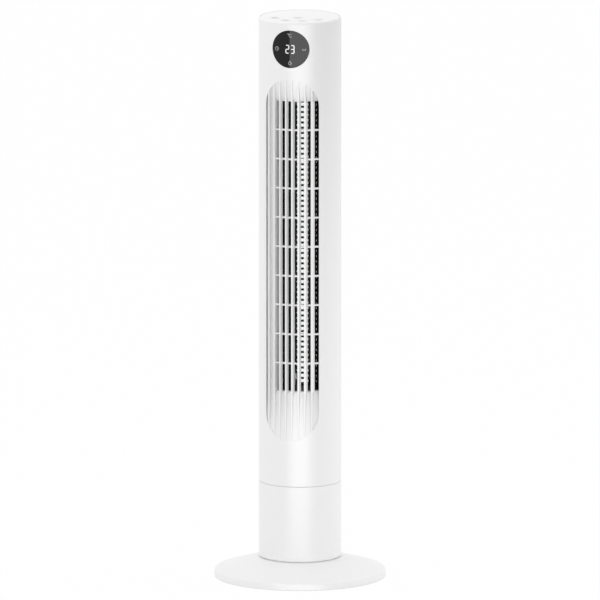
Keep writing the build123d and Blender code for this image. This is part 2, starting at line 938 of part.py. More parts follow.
with BuildPart() as front_shell:
    revolve(shell_outline.sketch, axis=Axis.Z)
    split(bisect_by=seam_front, keep=Keep.TOP)
    add(flute_floor.part)
    add(outlet_frame.part)
    add(flutes.part, mode=Mode.SUBTRACT)
    with BuildSketch(Plane.XZ):
        stadium()
        with Locations(((window_left + window_right) / 2, window_middle)):
            Rectangle(window_right - window_left, window_height, mode=Mode.INTERSECT)
    extrude(amount=front_limit, mode=Mode.SUBTRACT)
    add(outlet_cheek.part)
    add(outlet_slats.part)
    add(cross_bars.part)
    add(lens_seat.part, mode=Mode.SUBTRACT)
    with BuildSketch(Plane.XZ):
        with Locations((0, lens_height)):
            Circle(lens_opening)
    extrude(amount=front_limit, mode=Mode.SUBTRACT)
    with BuildSketch(Plane.XZ.offset(display_board_front)):
        with Locations(*display_posts):
            Circle(display_post_radius)
    extrude(amount=shell_inner + edge_break - display_board_front)
    with BuildSketch(Plane.XZ.offset(display_board_front)):
        with Locations(*display_posts):
            Circle(small_screw_radius + screw_clearance)
    extrude(amount=pilot_share * (shell_inner - display_board_front), mode=Mode.SUBTRACT)
    with BuildSketch(seam_front):
        with Locations(*shell_screw_places):
            Circle(front_boss_radius)
    extrude(amount=front_boss_length)
    with BuildSketch(seam_front):
        with Locations(*web_places):
            Rectangle(web_width, boss_web)
    extrude(amount=boss_web_length)
    with BuildSketch(seam_front):
        with Locations(*shell_screw_places):
            Circle(screw_radius + screw_clearance)
    extrude(amount=pilot_share * front_boss_length, mode=Mode.SUBTRACT)

# Rows of pill-shaped inlet slots in upright columns
pill_middle = pill_first + (pill_rows - 1) / 2 * pill_pitch


def inlet_slots(margin):
    """Cut the inlet slots, widened by a margin, through the part being built."""
    for angle in pill_angles:
        with BuildSketch(outward_plane(180 - angle, pill_middle)) as column:
            with GridLocations(1, pill_pitch, 1, pill_rows):
                SlotOverall(pill_width + 2 * margin, pill_height + 2 * margin)
        extrude(column.sketch, amount=front_limit, mode=Mode.SUBTRACT)


# Rear shell with the inlet, deep screw holes, floor tabs and circuit board posts
power_posts = [(side * power_post_spread, power_board_middle) for side in (-1, 1)]
power_post_length = (shell_inner**2 - power_post_spread**2) ** 0.5 - power_board_back
back_plane = outward_plane(180, 0)

with BuildPart() as rear_shell:
    revolve(shell_outline.sketch, axis=Axis.Z)
    split(bisect_by=seam_back, keep=Keep.BOTTOM)
    with BuildSketch(back_plane.offset(seam_gap / 2)):
        with Locations(*shell_screw_places):
            Circle(rear_boss_radius)
    extrude(amount=column_radius)
    with BuildSketch(back_plane.offset(power_board_back)):
        with Locations(*power_posts):
            Circle(power_post_radius)
    extrude(amount=column_radius)
    for angle in tab_angles:
        tab_plane = outward_plane(angle, turntable_top + tab_thickness / 2)
        with BuildSketch(tab_plane.offset(tab_circle - tab_width / 2)):
            Rectangle(tab_width, tab_thickness)
        extrude(amount=column_radius)
    turned(
        [
            (0, tower_bottom),
            (column_radius - seam_break, tower_bottom),
            (column_radius, tower_bottom + seam_break),
            (column_radius, total_height - rim_bevel),
            (column_radius - rim_bevel, total_height),
            (0, total_height),
        ],
        mode=Mode.INTERSECT,
    )
    raised(
        tab_places,
        screw_radius + screw_clearance,
        turntable_top,
        turntable_top + tab_thickness,
        mode=Mode.SUBTRACT,
    )
    with BuildSketch(back_plane.offset(seam_gap / 2)):
        with Locations(*shell_screw_places):
            Circle(screw_radius + screw_clearance)
    extrude(amount=front_limit, mode=Mode.SUBTRACT)
    with BuildSketch(back_plane.offset(counterbore_floor)):
        with Locations(*shell_screw_places):
            Circle(counterbore_radius)
    extrude(amount=front_limit, mode=Mode.SUBTRACT)
    with BuildSketch(back_plane.offset(power_board_back)):
        with Locations(*power_posts):
            Circle(small_screw_radius + screw_clearance)
    extrude(amount=pilot_share * power_post_length, mode=Mode.SUBTRACT)
    inlet_slots(0)

screw = pan_screw(screw_radius, counterbore_floor + thread_share * front_boss_length)
with BuildPart() as shell_screws:
    for x, height in shell_screw_places:
        with Locations(Plane(origin=(x, counterbore_floor, height), z_dir=(0, 1, 0))):
            add(screw)

# Dark liner behind the inlet
with BuildPart() as inlet_liner:
    turned(
        [
            (liner_inner, chamber_bottom),
            (liner_outer, chamber_bottom),
            (liner_outer, chamber_top),
            (liner_inner, chamber_top),
        ],
        plane=radius_plane(180 - liner_to),
        arc=liner_to - liner_from,
    )
    inlet_slots(liner_margin)

# Duct walls of the cross-flow blower: the scroll on one side, the tongue on the other
fitted_reach = frame_back - seat_clearance - duct_wall / 2
scroll_end_x = cheek_tip - duct_wall / 2
scroll_end = (scroll_end_x, on_arc(frame_back, scroll_end_x))
scroll_start_turn = radians(scroll_start_angle)
scroll_start_reach = fitted_radius - seat_clearance
scroll_start = (scroll_start_reach * sin(scroll_start_turn), scroll_start_reach * cos(scroll_start_turn))
tongue_end_x = (window_right + frame_right) / 2
tongue_end = (tongue_end_x, on_arc(fitted_reach, tongue_end_x))
tongue_start_reach = fitted_radius - duct_wall / 2
tongue_turn = radians(tongue_back_angle)
tongue_nose_turn = radians(tongue_nose_angle)
tongue_nose_reach = impeller_radius + tongue_gap + duct_wall / 2
tongue_nose = (
    impeller_x + tongue_nose_reach * cos(tongue_nose_turn),
    impeller_y + tongue_nose_reach * sin(tongue_nose_turn),
)
tongue_start = (tongue_start_reach * sin(tongue_turn), tongue_start_reach * cos(tongue_turn))

with BuildPart() as scroll_wall:
    with BuildSketch(Plane.XY.offset(chamber_bottom)):
        with BuildLine():
            Spline(scroll_start, *[scroll_point(turn) for turn in scroll_turns], scroll_end)
        trace(line_width=duct_wall)
    extrude(amount=chamber_top - chamber_bottom)
    turned(
        [
            (frame_back - seat_clearance, chamber_bottom),
            (column_radius, chamber_bottom),
            (column_radius, chamber_top),
            (frame_back - seat_clearance, chamber_top),
        ],
        mode=Mode.SUBTRACT,
        plane=radius_plane(-scroll_trim_angle),
        arc=scroll_trim_angle,
    )

with BuildPart() as tongue_wall:
    with BuildSketch(Plane.XY.offset(chamber_bottom)):
        with BuildLine():
            FilletPolyline(tongue_start, tongue_nose, tongue_end, radius=tongue_round)
        trace(line_width=duct_wall)
    extrude(amount=chamber_top - chamber_bottom)

# Cross-flow impeller: curved blades tied by rings, with a hub at each end
impeller_place = [(impeller_x, impeller_y)]
disc_radius = impeller_radius + ring_overhang
blade_inner = impeller_radius - blade_depth
ring_inner = blade_inner - ring_lip
blade_outer = impeller_radius - blade_thickness / 2
blade_middle = (blade_inner + blade_outer) / 2
hub_top = impeller_bottom + disc_thickness + hub_length
ring_pitch = (impeller_top - impeller_bottom) / (ring_count + 1)
shaft_bore = shaft_radius + press_clearance
set_screw_height = impeller_bottom + disc_thickness + set_screw_lift
set_screw_plane = Plane(origin=(impeller_x, impeller_y, set_screw_height), z_dir=(1, 0, 0))


def blade_point(radius, turn):
    """Point of the blade's middle line, at an angle from +X about the impeller's own axis."""
    return (radius * cos(radians(turn)), radius * sin(radians(turn)))


with BuildSketch() as blade:
    with BuildLine():
        ThreePointArc(
            blade_point(blade_inner, 0),
            blade_point(blade_middle, blade_middle_sweep),
            blade_point(blade_outer, blade_sweep),
        )
    trace(line_width=blade_thickness)

with BuildPart() as impeller:
    with BuildSketch(Plane.XY.offset(impeller_bottom)):
        with Locations((impeller_x, impeller_y)):
            with PolarLocations(0, blade_count):
                add(blade.sketch)
    extrude(amount=impeller_top - impeller_bottom)
    raised(impeller_place, disc_radius, impeller_bottom, impeller_bottom + disc_thickness)
    raised(impeller_place, disc_radius, impeller_top - disc_thickness, impeller_top)
    for k in range(ring_count):
        low = impeller_bottom + (k + 1) * ring_pitch - ring_thickness / 2
        high = low + ring_thickness
        turned(
            [(ring_inner, low), (disc_radius, low), (disc_radius, high), (ring_inner, high)],
            plane=impeller_section,
            axis=impeller_axis,
        )
    raised(impeller_place, hub_radius, impeller_bottom, hub_top)
    raised(impeller_place, hub_radius, impeller_top - pin_grip, impeller_top)
    raised(impeller_place, shaft_bore, impeller_bottom, hub_top, mode=Mode.SUBTRACT)
    raised(impeller_place, shaft_bore, impeller_top - pin_grip, impeller_top, mode=Mode.SUBTRACT)
    with BuildSketch(set_screw_plane):
        Circle(set_screw_radius + screw_clearance)
    extrude(amount=hub_radius, mode=Mode.SUBTRACT)

with BuildPart() as set_screw:
    with BuildSketch(set_screw_plane.offset(shaft_bore)):
        Circle(set_screw_radius)
    extrude(amount=hub_radius - shaft_bore)
    with BuildSketch(set_screw_plane.offset(hub_radius)):
        RegularPolygon(set_screw_radius / 2, 6)
    extrude(amount=-set_screw_radius, mode=Mode.SUBTRACT)

# Top bearing: a bush in a rubber holder, seated in the upper bulkhead
holder_top = chamber_top + holder_length - holder_flange
bush_bottom = (chamber_top - holder_flange + holder_top - bush_length) / 2
bearing_seat = holder_radius + press_clearance


bulkhead_front = on_arc(flute_root - grille_wall, frame_right)


def bulkhead(bottom, top):
    """Plate that closes the air chamber, cut back where the grille stands, built into the current part."""
    with BuildSketch(Plane.XY.offset(bottom)) as plate:
        Circle(fitted_radius)
        with Locations((0, bulkhead_front - column_radius)):
            Rectangle(2 * column_radius, 2 * column_radius, mode=Mode.SUBTRACT)
        Circle(flute_root - grille_wall - seat_clearance)
    extrude(plate.sketch, amount=top - bottom)


with BuildPart() as upper_bulkhead:
    bulkhead(chamber_top, chamber_top + bulkhead_thickness)
    raised(impeller_place, bearing_seat + bearing_seat_wall, chamber_top, holder_top)
    raised(impeller_place, bearing_seat, chamber_top, holder_top, mode=Mode.SUBTRACT)

with BuildPart() as bearing_holder:
    turned(
        [
            (bush_radius + press_clearance, chamber_top - holder_flange),
            (holder_flange_radius, chamber_top - holder_flange),
            (holder_flange_radius, chamber_top),
            (holder_radius, chamber_top),
            (holder_radius, holder_top),
            (bush_radius + press_clearance, holder_top),
        ],
        plane=impeller_section,
        axis=impeller_axis,
    )

with BuildPart() as bearing_bush:
    raised(impeller_place, bush_radius, bush_bottom, bush_bottom + bush_length)
    raised(
        impeller_place,
        shaft_radius + running_clearance,
        bush_bottom,
        bush_bottom + bush_length,
        mode=Mode.SUBTRACT,
    )

with BuildPart() as impeller_pin:
    raised(impeller_place, shaft_radius, impeller_top - pin_grip, holder_top)

# Fan motor hung on rubber grommets under the motor plate
motor_places = around(ear_circle, ear_angles, centre=(impeller_x, impeller_y))
motor_screw_hole = motor_screw_radius + screw_clearance
bush_seat = bush_radius + press_clearance

with BuildPart() as motor_plate:
    bulkhead(motor_plate_bottom, chamber_bottom)
    raised(motor_places, plate_boss_radius, grommet_top, motor_plate_bottom)
    raised(motor_places, motor_screw_hole, grommet_top, chamber_bottom, mode=Mode.SUBTRACT)
    raised(impeller_place, hub_radius, motor_plate_bottom, chamber_bottom, mode=Mode.SUBTRACT)

with BuildPart() as motor_grommets:
    raised(motor_places, grommet_radius, grommet_bottom, motor_top - motor_wall)
    raised(motor_places, grommet_neck, motor_top - motor_wall, motor_top)
    raised(motor_places, grommet_radius, motor_top, grommet_top)
    raised(motor_places, grommet_bore, grommet_bottom, grommet_top, mode=Mode.SUBTRACT)

motor_screw_length = grommet_top - grommet_bottom + thread_share * plate_boss_length
screw = pan_screw(motor_screw_radius, motor_screw_length)
with BuildPart() as motor_screws:
    for x, y in motor_places:
        with Locations(Plane(origin=(x, y, grommet_bottom), z_dir=(0, 0, -1))):
            add(screw)

with BuildPart() as motor_upper_bell:
    turned(
        [
            (bush_seat, motor_top - bush_length),
            (bell_boss_radius, motor_top - bush_length),
            (bell_boss_radius, motor_top - motor_wall),
            (motor_radius - motor_wall, motor_top - motor_wall),
            (motor_radius - motor_wall, stack_top),
            (motor_radius, stack_top),
            (motor_radius, motor_top),
            (bush_seat, motor_top),
        ],
        plane=impeller_section,
        axis=impeller_axis,
    )
    raised(motor_places, ear_radius, motor_top - motor_wall, motor_top)
    raised(
        motor_places,
        grommet_neck + press_clearance,
        motor_top - motor_wall,
        motor_top,
        mode=Mode.SUBTRACT,
    )

with BuildPart() as motor_lower_bell:
    turned(
        [
            (bush_seat, motor_bottom),
            (motor_radius, motor_bottom),
            (motor_radius, stack_bottom),
            (motor_radius - motor_wall, stack_bottom),
            (motor_radius - motor_wall, motor_bottom + motor_wall),
            (bell_boss_radius, motor_bottom + motor_wall),
            (bell_boss_radius, motor_bottom + bush_length),
            (bush_seat, motor_bottom + bush_length),
        ],
        plane=impeller_section,
        axis=impeller_axis,
    )

with BuildPart() as motor_stator:
    raised(impeller_place, motor_radius, stack_bottom, stack_top)
    raised(impeller_place, rotor_radius + rotor_air_gap, stack_bottom, stack_top, mode=Mode.SUBTRACT)

with BuildPart() as motor_windings:
    for low in (stack_bottom - winding_height, stack_top):
        with BuildSketch(impeller_section):
            with Locations(((winding_inner + winding_outer) / 2, low + winding_height / 2)):
                RectangleRounded(winding_outer - winding_inner, winding_height, winding_round)
        revolve(axis=impeller_axis)

with BuildPart() as motor_bushes:
    for low in (motor_bottom, motor_top - bush_length):
        raised(impeller_place, bush_radius, low, low + bush_length)
    raised(impeller_place, shaft_radius + running_clearance, motor_bottom, motor_top, mode=Mode.SUBTRACT)

with BuildPart() as motor_rotor:
    raised(impeller_place, rotor_radius, stack_bottom + rotor_inset, stack_top - rotor_inset)
    raised(impeller_place, shaft_bore, stack_bottom, stack_top, mode=Mode.SUBTRACT)

with BuildPart() as motor_shaft:
    raised(impeller_place, shaft_radius, motor_bottom - shaft_tail, hub_top)

# Power board with the motor's run capacitor
power_board_front = power_board_back - board_thickness

with BuildPart() as power_board:
    with BuildSketch(back_plane.offset(power_board_front)):
        with Locations((0, power_board_middle)):
            Rectangle(power_board_width, power_board_height)
        with Locations(*power_posts):
            Circle(small_screw_radius + screw_clearance, mode=Mode.SUBTRACT)
    extrude(amount=board_thickness)

screw = pan_screw(small_screw_radius, board_thickness + thread_share * power_post_length)
with BuildPart() as power_board_screws:
    for x, height in power_posts:
        with Locations(Plane(origin=(x, power_board_front, height), z_dir=(0, -1, 0))):
            add(screw)

with BuildPart() as run_capacitor:
    with BuildSketch(back_plane.offset(power_board_front)):
        with Locations((0, power_board_middle)):
            RectangleRounded(capacitor_width, capacitor_height, capacitor_round)
    extrude(amount=-capacitor_depth)

# Top cap, its circuit board and the five buttons
button_places = {"button_power": (0.0, centre_button_y)}
side_buttons = ("button_timer", "button_mode", "button_swing", "button_speed")
button_places.update(zip(side_buttons, around(button_circle, button_angles)))
control_screw_places = around(control_screw_circle, control_screw_angles)
flange_top = cap_bottom - button_hang
flange_bottom = flange_top - button_flange_thickness
stem_end = switch_top - button_stem_entry

with BuildPart() as top_cap:
    raised([(0, 0)], fitted_radius, cap_bottom, cap_top)
    chamfer(top_cap.edges().group_by(Axis.Z)[-1], cap_chamfer)
    raised(control_screw_places, control_boss_radius, control_board_top, cap_bottom)
    raised(
        control_screw_places,
        small_screw_radius + screw_clearance,
        control_board_top,
        cap_bottom,
        mode=Mode.SUBTRACT,
    )
    raised(
        button_places.values(), button_radius + seat_clearance, cap_bottom, cap_top, mode=Mode.SUBTRACT
    )

with BuildPart() as control_board:
    raised([(0, 0)], control_board_radius, control_board_bottom, control_board_top)
    raised(
        control_screw_places,
        small_screw_radius + screw_clearance,
        control_board_bottom,
        control_board_top,
        mode=Mode.SUBTRACT,
    )

control_screw_length = board_thickness + thread_share * (cap_bottom - control_board_top)
screw = pan_screw(small_screw_radius, control_screw_length)
with BuildPart() as control_board_screws:
    for x, y in control_screw_places:
        with Locations(Plane(origin=(x, y, control_board_bottom), z_dir=(0, 0, -1))):
            add(screw)

with BuildPart() as tact_switches:
    with BuildSketch(Plane.XY.offset(control_board_top)):
        with Locations(*button_places.values()):
            Rectangle(switch_width, switch_width)
    extrude(amount=switch_height)
    raised(
        button_places.values(),
        button_stem_radius + seat_clearance,
        switch_top - switch_well,
        switch_top,
        mode=Mode.SUBTRACT,
    )

buttons = {}
for name, place in button_places.items():
    with BuildPart() as button:
        raised([place], button_radius, flange_bottom, total_height)
        fillet(button.edges().group_by(Axis.Z)[-1], button_round)
        raised([place], button_radius + button_flange, flange_bottom, flange_top)
        raised([place], button_stem_radius, stem_end, flange_bottom)
    buttons[name] = button

# Display: bent lens, light module and its circuit board
with BuildPart() as display_lens:
    curved_disc(lens_back, column_radius, lens_radius)

with BuildPart() as display_board:
    with BuildSketch(Plane.XZ.offset(display_board_front - board_thickness)):
        with Locations((0, lens_height)):
            RectangleRounded(display_board_width, display_board_height, display_board_round)
        with Locations(*display_posts):
            Circle(small_screw_radius + screw_clearance, mode=Mode.SUBTRACT)
    extrude(amount=board_thickness)

with BuildPart() as display_module:
    with BuildSketch(Plane.XZ.offset(display_board_front)):
        with Locations((0, lens_height)):
            Circle(display_module_radius)
    extrude(amount=display_module_front - display_board_front)

display_screw_length = board_thickness + thread_share * (shell_inner - display_board_front)
screw = pan_screw(small_screw_radius, display_screw_length)
with BuildPart() as display_board_screws:
    for x, height in display_posts:
        with Locations(Plane(origin=(x, board_thickness - display_board_front, height), z_dir=(0, 1, 0))):
            add(screw)

# One file for each piece
pieces = {
    "base_cover": base_cover,
    "rubber_feet": rubber_feet,
    "base_nut": base_nut,
    "pedestal_shell": pedestal_shell,
    "cord_gland": cord_gland,
    "pedestal_deck": pedestal_deck,
    "deck_screws": deck_screws,
    "glide_ring": glide_ring,
    "swing_motor": swing_motor,
    "swing_motor_screws": swing_motor_screws,
    "swing_pinion": swing_pinion,
    "swing_motor_shaft": swing_motor_shaft,
    "turntable": turntable,
    "retaining_plate": retaining_plate,
    "retaining_screws": retaining_screws,
    "turntable_screws": turntable_screws,
    "front_shell": front_shell,
    "rear_shell": rear_shell,
    "shell_screws": shell_screws,
    "inlet_liner": inlet_liner,
    "scroll_wall": scroll_wall,
    "tongue_wall": tongue_wall,
    "impeller": impeller,
    "set_screw": set_screw,
    "impeller_pin": impeller_pin,
    "upper_bulkhead": upper_bulkhead,
    "bearing_holder": bearing_holder,
    "bearing_bush": bearing_bush,
    "motor_plate": motor_plate,
    "motor_grommets": motor_grommets,
    "motor_screws": motor_screws,
    "motor_upper_bell": motor_upper_bell,
    "motor_lower_bell": motor_lower_bell,
    "motor_stator": motor_stator,
    "motor_windings": motor_windings,
    "motor_bushes": motor_bushes,
    "motor_rotor": motor_rotor,
    "motor_shaft": motor_shaft,
    "power_board": power_board,
    "power_board_screws": power_board_screws,
    "run_capacitor": run_capacitor,
    "top_cap": top_cap,
    "control_board": control_board,
    "control_board_screws": control_board_screws,
    "tact_switches": tact_switches,
    "display_lens": display_lens,
    "display_module": display_module,
    "display_board": display_board,
    "display_board_screws": display_board_screws,
    **buttons,
}

os.makedirs("parts", exist_ok=True)
for name, piece in pieces.items():
    piece.part.label = name
    export_step(piece.part, f"parts/{name}.step")
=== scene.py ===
"""Finishes, display signs, button signs and studio for a tower fan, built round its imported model."""

from math import cos, pi, radians, sin, tau

import bmesh
import bpy
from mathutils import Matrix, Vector


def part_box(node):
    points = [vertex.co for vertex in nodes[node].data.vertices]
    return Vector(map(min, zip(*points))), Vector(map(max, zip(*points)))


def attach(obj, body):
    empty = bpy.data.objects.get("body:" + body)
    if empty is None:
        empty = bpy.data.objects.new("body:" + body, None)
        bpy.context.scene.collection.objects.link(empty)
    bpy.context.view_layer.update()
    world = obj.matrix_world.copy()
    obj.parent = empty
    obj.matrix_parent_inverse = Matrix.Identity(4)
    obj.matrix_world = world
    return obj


bl_info = {
    "name": "Tower Fan",
    "version": (1, 0, 0),
    "blender": (4, 5, 0),
    "location": "View3D > Sidebar > Tower Fan",
    "description": "Finishes the shells, display, buttons and drive of a tower fan in a plain studio",
    "category": "Object",
}

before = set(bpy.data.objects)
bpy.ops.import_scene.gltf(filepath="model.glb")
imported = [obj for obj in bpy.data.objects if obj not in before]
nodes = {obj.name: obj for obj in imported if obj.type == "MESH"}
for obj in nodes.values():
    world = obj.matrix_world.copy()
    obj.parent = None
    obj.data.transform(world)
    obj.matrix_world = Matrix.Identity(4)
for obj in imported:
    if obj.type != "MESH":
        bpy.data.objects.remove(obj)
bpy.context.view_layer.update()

MM = 0.001
# Range of a noise texture that holds nearly all of its values
GRAIN_LOW, GRAIN_HIGH = 0.3, 0.7
ROUND_STEPS = 8
FLOOR_SIDES = 96


def linear(code):
    """Linear colour of an sRGB hex code such as 'ececeb'."""
    parts = [int(code[k : k + 2], 16) / 255 for k in (0, 2, 4)]
    return tuple(c / 12.92 if c <= 0.04045 else ((c + 0.055) / 1.055) ** 2.4 for c in parts)


def rgba(colour):
    """Four-part colour for a shader socket."""
    return (*colour, 1.0)


def size_property(name, description, default, unit="LENGTH"):
    """Length in metres, or angle in radians, that a user may change."""
    return bpy.props.FloatProperty(
        name=name, description=description, default=default, unit=unit, precision=5
    )


def level_property(name, description, default):
    """Brightness or share that a user may change, where 1 is white or all."""
    return bpy.props.FloatProperty(name=name, description=description, default=default, subtype="FACTOR")


def colour_property(name, description, code):
    """Colour that a user may change."""
    return bpy.props.FloatVectorProperty(
        name=name, description=description, default=linear(code), subtype="COLOR", size=3, min=0.0, max=1.0
    )


class TowerFanSizes(bpy.types.PropertyGroup):
    """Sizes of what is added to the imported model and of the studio."""

    edge_round: size_property("Moulded edge", "Radius that softens every moulded edge", 0.5 * MM)
    print_depth: size_property("Print thickness", "Thickness of the printed and lit signs", 0.06 * MM)
    digit_width: size_property("Digit width", "Width of one display digit at its stroke centres", 4.9 * MM)
    digit_height: size_property("Digit height", "Height of a display digit at its stroke centres", 12.8 * MM)
    digit_stroke: size_property("Digit stroke", "Width of a lit digit stroke", 1.6 * MM)
    digit_pitch: size_property("Digit pitch", "Distance from one digit's centre to the next", 8.7 * MM)
    digit_gap: size_property("Digit gap", "Gap left between two strokes of a digit", 0.35 * MM)
    sign_reach: size_property("Sign reach", "Distance of a small sign from the display's centre", 22.6 * MM)
    sign_size: size_property("Sign size", "Height of a small sign on the display", 6.0 * MM)
    sign_stroke: size_property("Sign stroke", "Line width of a small sign on the display", 0.7 * MM)
    button_sign_size: size_property("Button sign size", "Height of the sign on a button", 7.0 * MM)
    button_sign_stroke: size_property("Button sign stroke", "Line width of the sign on a button", 0.9 * MM)
    floor_radius: size_property("Floor radius", "Radius of the studio floor", 14.0)
    floor_drop: size_property("Floor drop", "Distance of the studio floor below the feet", 0.1 * MM)
    # Reach of the painted shadow that dims the floor's glow near the base.
    contact_reach: size_property("Contact reach", "Reach of the close shadow on the floor", 0.7 * MM)
    floor_glow: level_property("Floor glow", "Share of plain white in the floor that the camera sees", 0.95)
    camera_distance: size_property("Camera distance", "Distance from the camera to the fan", 35.0)
    camera_aim: size_property("Camera aim", "Height at which the camera looks", 0.4541)
    camera_frame: size_property("Camera frame", "Width of the picture at the fan", 0.9745)
    camera_azimuth: size_property(
        "Camera azimuth", "Angle of the camera from the front towards the right", radians(14.1), "ROTATION"
    )
    camera_elevation: size_property(
        "Camera elevation", "Angle of the camera above the horizon", radians(10.5), "ROTATION"
    )
    softbox_distance: size_property("Softbox distance", "Distance from the fan to the front softbox", 0.45)
    softbox_width: size_property("Softbox width", "Width of the front softbox", 0.46)
    softbox_height: size_property("Softbox height", "Height of the front softbox", 1.1)
    softbox_radiance: level_property("Softbox brightness", "Brightness of the front softbox", 3.3)
    flag_distance: size_property("Flag distance", "Distance from the fan to the flag on its right", 0.45)
    flag_advance: size_property("Flag advance", "Distance of the flag's middle in front of the fan", 0.4)
    flag_width: size_property("Flag width", "Width of the grey flag", 0.38)
    flag_height: size_property("Flag height", "Height of the grey flag", 0.8)
    flag_lift: size_property("Flag lift", "Height of the flag's lower edge above the floor", 0.74)
    overhead_height: size_property("Overhead height", "Height of the overhead softbox", 2.2)
    overhead_offset: size_property("Overhead offset", "Distance of the overhead softbox to the left", 0.6)
    overhead_width: size_property("Overhead width", "Width and depth of the overhead softbox", 1.0)
    overhead_radiance: level_property("Overhead brightness", "Brightness of the overhead softbox", 0.9)
    side_distance: size_property("Side distance", "Distance from the fan to the softbox on its right", 0.9)
    side_retreat: size_property("Side retreat", "Distance of the side softbox behind the fan", 0.3)
    side_width: size_property("Side width", "Width of the side softbox", 0.5)
    side_height: size_property("Side height", "Height of the side softbox", 0.8)
    side_radiance: level_property("Side brightness", "Brightness of the side softbox", 0.55)
    ambient: level_property("Room brightness", "Brightness of the white room", 0.98)


class TowerFanColours(bpy.types.PropertyGroup):
    """Colours of the finishes."""

    shell: colour_property("Shell", "White of the moulded shells", "f0f0f0")
    button: colour_property("Button", "Pale grey of the buttons", "e7e7e7")
    duct: colour_property("Duct", "Black of the liner and duct walls", "0b0b0c")
    impeller: colour_property("Impeller", "Pale smoke of the impeller's resin", "8b9194")
    lens: colour_property("Lens", "Smoked black of the display lens", "060607")
    lit_sign: colour_property("Lit signs", "Light of the display's digits and signs", "f1f4f5")
    dim_sign: colour_property("Dim signs", "Light of the display's small signs", "a9abad")
    printed_sign: colour_property("Printed signs", "Ink of the signs on the buttons", "c3c4c6")
    rubber: colour_property("Rubber", "Black of the feet, gland and grommets", "1c1c1d")
    flag: colour_property("Flag", "Felt of the studio flag", "646464")
    floor: colour_property("Floor", "Paper of the studio floor", "f6f6f6")


def add_node(tree, kind, inputs=None, **settings):
    """Add a node to a tree, set its options, and fill or link its input sockets."""
    node = tree.nodes.new(kind)
    for option, value in settings.items():
        setattr(node, option, value)
    for key, value in (inputs or {}).items():
        if isinstance(value, bpy.types.NodeSocket):
            tree.links.new(value, node.inputs[key])
        else:
            node.inputs[key].default_value = value
    return node


def finish(name, tints, roughness, grain_mm, relief_mm, edge=0.0, stretch=(1, 1, 1), layer_mm=0.0, **shader):
    """Material whose colour, roughness and relief all follow one grain of a real size."""
    material = bpy.data.materials.new(name)
    material.use_nodes = True
    tree = material.node_tree
    tree.nodes.clear()
    place = add_node(tree, "ShaderNodeTexCoord").outputs["Object"]
    place = add_node(tree, "ShaderNodeMapping", {"Vector": place, "Scale": stretch}).outputs["Vector"]
    cloud = add_node(
        tree,
        "ShaderNodeTexNoise",
        {"Vector": place, "Scale": 1 / (grain_mm * MM), "Detail": 4.0, "Roughness": 0.6},
    ).outputs["Fac"]
    height = cloud
    if layer_mm:
        # A wave's period is tau / (20 * scale)
        height = add_node(
            tree,
            "ShaderNodeTexWave",
            {"Vector": place, "Scale": tau / 20 / (layer_mm * MM), "Distortion": 0.3, "Detail": 1.0},
            bands_direction="Z",
        ).outputs["Fac"]
    share = add_node(
        tree, "ShaderNodeMapRange", {"Value": height, "From Min": GRAIN_LOW, "From Max": GRAIN_HIGH}
    ).outputs["Result"]
    colour = add_node(
        tree,
        "ShaderNodeMix",
        {0: share, 6: rgba(tints[0]), 7: rgba(tints[1])},
        data_type="RGBA",
    ).outputs[2]
    rough = add_node(
        tree,
        "ShaderNodeMapRange",
        {
            "Value": cloud,
            "From Min": GRAIN_LOW,
            "From Max": GRAIN_HIGH,
            "To Min": roughness[0],
            "To Max": roughness[1],
        },
    ).outputs["Result"]
    normal = {"Height": height, "Strength": 1.0, "Distance": relief_mm * MM}
    if edge:
        normal["Normal"] = add_node(tree, "ShaderNodeBevel", {"Radius": edge}, samples=4).outputs["Normal"]
    bump = add_node(tree, "ShaderNodeBump", normal).outputs["Normal"]
    surface = add_node(
        tree,
        "ShaderNodeBsdfPrincipled",
        {"Base Color": colour, "Roughness": rough, "Normal": bump, **shader},
    ).outputs["BSDF"]
    add_node(tree, "ShaderNodeOutputMaterial", {"Surface": surface})
    return material


def shades(colour, change):
    """A colour and the same colour made lighter or darker by a share."""
    return colour, tuple(min(1.0, c * (1 + change)) for c in colour)


def dress(names, material):
    """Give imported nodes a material."""
    for name in names:
        nodes[name].data.materials.clear()
        nodes[name].data.materials.append(material)


class TOWERFAN_OT_shells(bpy.types.Operator):
    """Finish the white moulded shells, cap, pedestal and base"""

    bl_idname = "tower_fan.shells"
    bl_label = "Shells"

    def execute(self, context):
        colours = context.scene.tower_fan_colours
        sizes = context.scene.tower_fan_sizes
        # ABS moulded against a finely eroded tool: a soft sheen with a faint broken edge to highlights.
        # The real grain is near 0.1 mm; it is drawn at 2.5 mm so that it shows.
        white_abs = finish(
            "White moulded ABS",
            shades(colours.shell, -0.015),
            (0.33, 0.43),
            grain_mm=2.5,
            relief_mm=0.004,
            edge=sizes.edge_round,
            **{"IOR": 1.53, "Specular IOR Level": 0.4},
        )
        dress(["front_shell", "rear_shell", "top_cap"], white_abs)
        dress(["pedestal_shell", "pedestal_deck", "base_cover"], white_abs)
        return {"FINISHED"}


class TOWERFAN_OT_ducts(bpy.types.Operator):
    """Finish the black walls inside the column"""

    bl_idname = "tower_fan.ducts"
    bl_label = "Ducts"

    def execute(self, context):
        colours = context.scene.tower_fan_colours
        # Black ABS from a plain tool: half matt, faintly mottled.
        black_abs = finish(
            "Black moulded ABS",
            shades(colours.duct, 0.3),
            (0.5, 0.62),
            grain_mm=3.0,
            relief_mm=0.01,
            **{"IOR": 1.53, "Specular IOR Level": 0.2},
        )
        dress(["inlet_liner", "scroll_wall", "tongue_wall", "upper_bulkhead", "motor_plate"], black_abs)
        dress(["base_nut", "run_capacitor", "tact_switches"], black_abs)
        return {"FINISHED"}


